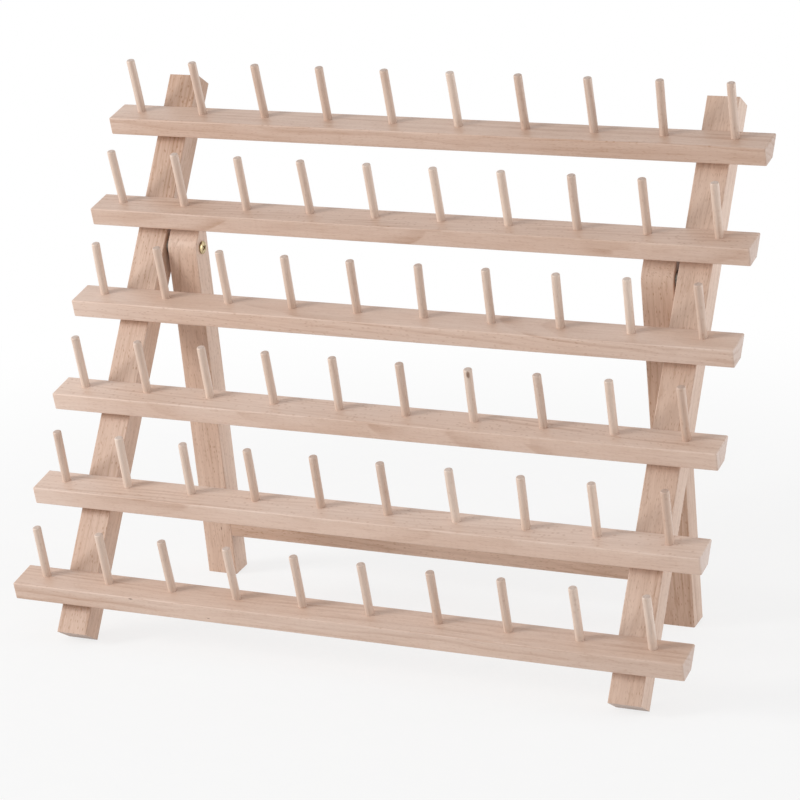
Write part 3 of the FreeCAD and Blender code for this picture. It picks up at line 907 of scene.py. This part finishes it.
@dataclass
class PegRows:
    """The sixty pegs: cut dowels that each lean a little their own way.

    The leans are how far each peg's tip stands off to the right, in millimetres.
    """

    radius: float = 2.4 * MM
    rise: float = 32.2 * MM
    glued_radius: float = 2.2 * MM
    glued_depth: float = 6.0 * MM
    glued_chamfer: float = 0.3 * MM
    shoulder: Numbers = (-0.12 * MM, -0.08 * MM)
    foot_ring: float = 0.4 * MM
    shaft_rings: Numbers = (0.12, 0.3, 0.5, 0.7, 0.85)
    tip_round: float = 0.8 * MM
    tip_steps: int = 6
    crown: tuple[Numbers, ...] = ((1.2 * MM, 0.02 * MM), (0.5 * MM, 0.03 * MM))
    nod_reach: float = 0.35 * MM
    bow_reach: float = 0.12 * MM
    waver: float = 0.006
    waver_pace: Numbers = (900.0, 9000.0)
    mount_rise: float = 15.85 * MM
    first_draw: int = 40
    heart: float = 0.05
    first_seed: float = 8.0
    warmth: float = 0.18
    knotted_row: int = 3
    knotted_peg: int = 6
    knot_rise: float = 29.7 * MM
    knot_aside: float = 1.6 * MM
    knot_size: Numbers = (2.9 * MM, 1.3 * MM, 1.5 * MM)
    leans: tuple[Numbers, ...] = (
        (-1.0, -0.9, -0.9, -0.5, -0.5, -0.8, -0.6, -0.1, 0.7, 0.4),
        (-1.4, -0.8, -0.3, -1.1, -0.5, -0.5, -0.6, 0.1, 0.0, 0.3),
        (0.8, 0.3, -0.2, 0.6, 0.6, 1.2, 0.7, 1.0, 0.9, 0.4),
        (0.1, 0.0, 0.3, -0.1, 0.7, 0.8, 0.8, 0.2, 0.4, 0.2),
        (0.9, 0.6, 0.8, 0.4, 0.5, 0.1, -0.1, 1.0, 0.3, 0.5),
        (0.6, 0.1, -0.6, -0.8, -0.1, -0.2, -0.2, -0.2, -0.3, 0.0),
    )

    def outline(self) -> list[tuple[float, float]]:
        """Draws half of a peg's outline.

        Returns:
            Its radius and height, from its glued end to its tip.
        """
        glued = [(self.glued_radius - self.glued_chamfer, -self.glued_depth),
                 (self.glued_radius, -self.glued_depth + self.glued_chamfer),
                 (self.glued_radius, self.shoulder[0]), (self.radius, self.shoulder[1])]
        heights = (self.foot_ring, *(self.rise * share for share in self.shaft_rings))
        shaft = [(self.radius, height) for height in heights]
        angles = (math.radians(90.0 * step / self.tip_steps) for step in range(self.tip_steps + 1))
        round_tip = [(self.radius - self.tip_round * (1 - math.cos(angle)),
                      self.rise - self.tip_round * (1 - math.sin(angle))) for angle in angles]
        crown = [(radius, self.rise + swell) for radius, swell in self.crown]
        return glued + shaft + round_tip + crown

    def peg(self, shape: Shape, foot: Vector, lean: float, draw: random.Random) -> None:
        """Adds one peg.

        Args:
            shape: The row's shape.
            foot: Where the peg leaves the rail.
            lean: How far its tip stands off to the right.
            draw: The row's own chance.
        """
        nod = draw.uniform(-self.nod_reach, self.nod_reach)
        bow = draw.uniform(-self.bow_reach, self.bow_reach)
        rings = []
        for radius, height in self.outline():
            share = max(height, 0.0) / self.rise
            middle = foot + RAIL_UP * height + RIGHT * (lean * share) + RAIL_BACK * (nod * share)
            middle += RIGHT * (bow * math.sin(math.pi * share))
            phase = height * self.waver_pace[0] + nod * self.waver_pace[1]
            width = radius * (1.0 + self.waver * math.sin(phase))
            rings.append([middle + spoke(RIGHT, RAIL_BACK, turn) * width for turn in TURNS])
        shape.turned(rings, draw.random())

    def knot(self, foot: Vector) -> Speck:
        """The knot near the tip of the peg with this foot."""
        tip = foot + RAIL_UP * self.knot_rise
        return Speck(tuple(tip - RAIL_BACK * self.radius + RIGHT * self.knot_aside), self.knot_size)

    def build(self, shop: Workshop) -> None:
        """Models the rows of pegs and dresses them.

        Args:
            shop: The shared effects.
        """
        mounts = {mount["name"]: Vector(mount["pos_m"]) for mount in frame["record"]["mounts"]}
        for index in range(RAILS):
            draw = random.Random(self.first_draw + index)
            first = mounts[f"peg_rail{index + 1}_left"] - RAIL_UP * self.mount_rise
            last = mounts[f"peg_rail{index + 1}_right"] - RAIL_UP * self.mount_rise
            feet = [first.lerp(last, place / (PEGS - 1)) for place in range(PEGS)]
            shape = Shape()
            for foot, lean in zip(feet, self.leans[index]):
                self.peg(shape, foot, lean * MM, draw)
            specks = (self.knot(feet[self.knotted_peg]),) if index == self.knotted_row else ()
            stick = Stick(RAIL_UP, RIGHT, Cut.RIFT, self.heart, self.first_seed + index, self.warmth,
                          specks=specks)
            node = f"pegs_{index + 1}"
            wood = shop.beech(f"{node}_beech", PEG_BEECH, stick, first, per_peg=True)
            stand_in(shape.piece(f"peg_row_{index + 1}"), node, FRONT, wood)


class Head(Enum):
    """The head of a screw."""

    PAN = "pan"
    COUNTERSUNK = "countersunk"


@dataclass(frozen=True)
class Screw:
    """A cross-recessed wood screw, set by the place of its head's seat, or of a sunk head's top."""

    head: Head
    diameter: float
    head_diameter: float
    length: float
    plain: float
    pitch: float = 1.5 * MM
    rings_per_pitch: int = 7
    point: float = 3.0 * MM
    core: float = 0.7
    thread: float = 0.3
    crest_reach: float = 0.24
    blunt: float = 0.04 * MM
    dome_foot: float = 0.45 * MM
    dome_rise: float = 0.85 * MM
    dome_angles: tuple[int, ...] = (12, 23, 34, 45, 56, 67, 78, 89)
    pan_rim: float = 0.3 * MM
    sunk_rim: float = 0.14 * MM
    rim_draft: float = 0.02 * MM
    eased: float = 0.12 * MM
    film: float = 0.01 * MM
    recess_reach: float = 0.24
    recess_half: float = 0.06
    recess_levels: tuple[Numbers, ...] = (
        (0.2 * MM, 1.0, 1.0), (-0.25 * MM, 0.92, 1.0), (-1.5 * MM, 0.34, 0.7),
    )

    def head_outline(self) -> list[tuple[float, float]]:
        """Draws half of the head's outline.

        Returns:
            Its radius and height, from its crown down to the shank.
        """
        wide, thin = self.head_diameter / 2, self.diameter / 2
        if self.head is Head.PAN:
            dome = [(wide * math.sin(angle), self.dome_foot + self.dome_rise * math.cos(angle))
                    for angle in map(math.radians, self.dome_angles)]
            return dome + [(wide, self.pan_rim), (wide - self.eased, self.rim_draft), (thin, 0.0)]
        return [(wide / 2, -self.film), (wide - self.eased, -self.rim_draft),
                (wide - self.rim_draft, -self.sunk_rim), (thin, thin - wide)]

    def radius_at(self, depth: float, turn: float) -> float:
        """Works out the shank's radius with its thread.

        Args:
            depth: How far down the shank.
            turn: The angle round it.

        Returns:
            The radius.
        """
        thin = self.diameter / 2
        if depth < self.plain:
            return thin
        to_tip = min(1.0, max(0.0, (self.length - depth) / self.point))
        phase = (depth / self.pitch - turn / (2 * math.pi)) % 1.0
        crest = max(0.0, 1.0 - abs(phase - 0.5) / self.crest_reach)
        return thin * to_tip * (self.core + self.thread * crest) + self.blunt

    def add_to(self, shape: Shape, seat: Vector, axis: Vector) -> None:
        """Adds the screw to a shape.

        Args:
            shape: The shape.
            seat: Where the head's seat, or a sunk head's top, lies.
            axis: The direction out of the head.
        """
        side = axis.orthogonal().normalized()
        other = axis.cross(side)
        outline = self.head_outline()
        rings = [[seat + axis * high + spoke(side, other, turn) * radius for turn in TURNS]
                 for radius, high in outline]
        start = -outline[-1][1]
        steps = int((self.length - start) / (self.pitch / self.rings_per_pitch))
        for row in range(1, steps + 1):
            depth = start + (self.length - start) * row / steps
            middle = seat - axis * depth
            rings.append([middle + spoke(side, other, turn) * self.radius_at(depth, turn) for turn in TURNS])
        rings.reverse()
        shape.turned(rings)

    def recess(self, shape: Shape, seat: Vector, axis: Vector) -> None:
        """Adds the tool that cuts the cross recess.

        Args:
            shape: The shape of the tools.
            seat: Where the head's seat, or a sunk head's top, lies.
            axis: The direction out of the head.
        """
        side = axis.orthogonal().normalized()
        other = axis.cross(side)
        top = self.dome_foot + self.dome_rise if self.head is Head.PAN else 0.0
        long, wide = self.recess_reach * self.head_diameter, self.recess_half * self.head_diameter
        rings = []
        for rise, reach, width in self.recess_levels:
            corners = cross(long * reach, wide * width)
            rings.append([seat + axis * (top + rise) + side * x + other * y for x, y in corners])
        rings.reverse()
        shape.turned(rings)


@dataclass
class Fasteners:
    """Screws and washers. Pairs of places are the left one and the right one."""

    pivot: Screw = Screw(
        Head.PAN, diameter=4.0 * MM, head_diameter=7.6 * MM, length=34.95 * MM, plain=22.0 * MM,
    )
    rail: Screw = Screw(
        Head.COUNTERSUNK, diameter=3.5 * MM, head_diameter=7.0 * MM, length=20.0 * MM, plain=4.0 * MM,
    )
    bar: Screw = Screw(
        Head.COUNTERSUNK, diameter=3.5 * MM, head_diameter=7.0 * MM, length=39.8 * MM, plain=12.0 * MM,
    )
    pivot_x: Numbers = (-134.45 * MM, 136.55 * MM)
    bar_x: Numbers = (-153.4 * MM, 155.5 * MM)
    bar_drop: float = 171.4 * MM
    column_x: Numbers = (-164.8 * MM, 166.9 * MM)
    column_back: float = 6.95 * MM
    column_rise: float = 73.2 * MM
    column_pitch: float = 55.6 * MM
    washers: tuple[str, ...] = ("left_pivot_washer", "right_pivot_washer")

    def build(self, shop: Workshop) -> None:
        """Models the screws and dresses every metal piece.

        Args:
            shop: The shared effects.
        """
        pivot = Vector(frame["joints"][0]["pos_m"])
        brass = shop.metal("satin_brass", BRASS)
        for hand, side, facing in (("left", 0, RIGHT), ("right", 1, -RIGHT)):
            seat = pivot + RIGHT * self.pivot_x[side]
            self.model(f"{hand}_pivot_screw", FRONT, self.pivot, [(seat, facing)], brass)
            seat = pivot + RIGHT * self.bar_x[side] - REAR_UP * self.bar_drop
            self.model(f"{hand}_bar_screw", REAR, self.bar, [(seat, -facing)], brass)
            top = pivot + RIGHT * self.column_x[side] + LEG_BACK * self.column_back
            top += LEG_UP * self.column_rise
            seats = [(top - LEG_UP * (self.column_pitch * row), LEG_BACK) for row in range(RAILS)]
            self.model(f"{hand}_rail_screws", FRONT, self.rail, seats, brass)
        zinc = shop.metal("zinc_plate", ZINC)
        for node in self.washers:
            dress(node, zinc)

    def model(self, node: str, body: str, screw: Screw, seats: list[tuple[Vector, Vector]],
              finish: bpy.types.Material) -> None:
        """Models the screws of one node.

        Args:
            node: The CAD node they stand for.
            body: The body that carries them.
            screw: The kind of screw.
            seats: Each screw's seat and the direction out of its head.
            finish: The metal.
        """
        shape, tools = Shape(), Shape()
        for seat, axis in seats:
            screw.add_to(shape, seat, axis)
            screw.recess(tools, seat, axis)
        piece = shape.piece(f"{node}_turned")
        cut_out(piece, tools.piece(f"{node}_driver"))
        stand_in(piece, node, body, finish)


@dataclass(frozen=True)
class Softbox:
    """A square soft lamp, its power in watts."""

    name: str
    place: Numbers
    width: float
    power: float
    colour: Colour


@dataclass
class Studio:
    """Floor, backdrop, lamps and camera. None of it belongs to the rack."""

    camera_place: Numbers = (0.68927, -1.448073, 0.57343)
    camera_turn: Numbers = (74.6572, 2.0543, 24.7721)
    camera_clip: Numbers = (0.05, 50.0)
    lens: float = 134.93
    sensor: float = 36.0
    ambient: float = 0.59
    floor_reach: float = 4.0
    floor_greys: Numbers = (0.88, 0.92)
    floor_roughness: float = 0.3
    floor_specks: Marks = Marks((60.0, 60.0, 60.0), 3.0)
    fade_reach: Numbers = (0.3, 0.75)
    fade_share: Numbers = (0.76, 1.0)
    aim: Numbers = (0.0, 0.0, 0.15)
    lamps: tuple[Softbox, ...] = (
        Softbox("front_left_softbox", (-1.46, -0.985, 0.76), 0.6, 18.5, (1.0, 0.99, 0.975)),
        Softbox("right_softbox", (1.5, 0.42, 0.1), 0.8, 11.8, (0.9, 0.965, 1.0)),
    )

    def build(self) -> None:
        """Sets up everything round the rack."""
        self.backdrop()
        self.floor()
        for softbox in self.lamps:
            self.lamp(softbox)
        self.camera()

    def backdrop(self) -> None:
        """A white surround for eyes and reflections, at a gentler level as light."""
        world = bpy.data.worlds.new("studio_surround")
        bpy.context.scene.world = world
        world.use_nodes = True
        world.node_tree.nodes.clear()
        tree = Tree(world.node_tree)
        strength = tree.math("MULTIPLY_ADD", tree.seen(), 1.0 - self.ambient, self.ambient)
        light = tree.add("ShaderNodeBackground", {"Color": WHITE, "Strength": strength})
        tree.add("ShaderNodeOutputWorld", {"Surface": light.outputs[0]})

    def floor(self) -> None:
        """A pale floor that fades into the backdrop and keeps the rack's shadow."""
        reach = self.floor_reach
        mesh = bpy.data.meshes.new("studio_floor")
        corners = [(-reach, -reach, 0.0), (reach, -reach, 0.0), (reach, reach, 0.0), (-reach, reach, 0.0)]
        mesh.from_pydata(corners, [], [(0, 1, 2, 3)])
        mesh.materials.append(self.floor_paint())
        floor = bpy.data.objects.new("studio_floor", mesh)
        bpy.context.scene.collection.objects.link(floor)

    def floor_paint(self) -> bpy.types.Material:
        """Makes the floor's finish: matt paint near the rack, and the backdrop's white further out.

        Returns:
            The material.
        """
        material = bpy.data.materials.new("studio_floor")
        material.use_nodes = True
        material.node_tree.nodes.clear()
        tree = Tree(material.node_tree)
        place = tree.add("ShaderNodeTexCoord").outputs["Object"]
        dark, pale = ((grey, grey, grey, 1.0) for grey in self.floor_greys)
        paint = tree.mix(self.floor_specks.over(tree, place), dark, pale)
        matt = tree.add("ShaderNodeBsdfDiffuse", {"Color": paint, "Roughness": self.floor_roughness})
        glow = tree.add("ShaderNodeEmission", {"Color": WHITE, "Strength": 1.0})
        far = tree.step(tree.measure("LENGTH", place), self.fade_reach, self.fade_share)
        share = tree.math("MULTIPLY", far, tree.seen())
        blend = tree.add("ShaderNodeMixShader", {0: share, 1: matt.outputs[0], 2: glow.outputs[0]})
        tree.add("ShaderNodeOutputMaterial", {"Surface": blend.outputs[0]})
        return material

    def lamp(self, softbox: Softbox) -> None:
        """Adds a soft lamp that looks at the rack.

        Args:
            softbox: The lamp's place, size and light.
        """
        light = bpy.data.lights.new(softbox.name, "AREA")
        light.shape = "SQUARE"
        light.size = softbox.width
        light.energy = softbox.power
        light.color = softbox.colour
        lamp = bpy.data.objects.new(softbox.name, light)
        bpy.context.scene.collection.objects.link(lamp)
        lamp.location = softbox.place
        towards = Vector(self.aim) - Vector(softbox.place)
        lamp.rotation_euler = towards.to_track_quat("-Z", "Y").to_euler()
        lamp.visible_camera = False

    def camera(self) -> None:
        """The camera at the photograph's place."""
        data = bpy.data.cameras.new("photo_camera")
        data.sensor_fit = "HORIZONTAL"
        data.sensor_width = self.sensor
        data.lens = self.lens
        data.clip_start, data.clip_end = self.camera_clip
        camera = bpy.data.objects.new("photo_camera", data)
        bpy.context.scene.collection.objects.link(camera)
        camera.location = self.camera_place
        camera.rotation_euler = tuple(math.radians(angle) for angle in self.camera_turn)
        bpy.context.scene.camera = camera


def main() -> None:
    """Builds the looks in order and reports each sub-assembly."""
    logging.basicConfig(level=logging.INFO, format="%(message)s")
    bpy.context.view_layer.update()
    shop = Workshop()
    for part in (Rails(), Legs(), PegRows(), Fasteners()):
        part.build(shop)
        LOG.info("%s done", type(part).__name__)
    Studio().build()
    bpy.context.scene.view_settings.view_transform = "Standard"


if __name__ == "__main__":
    main()
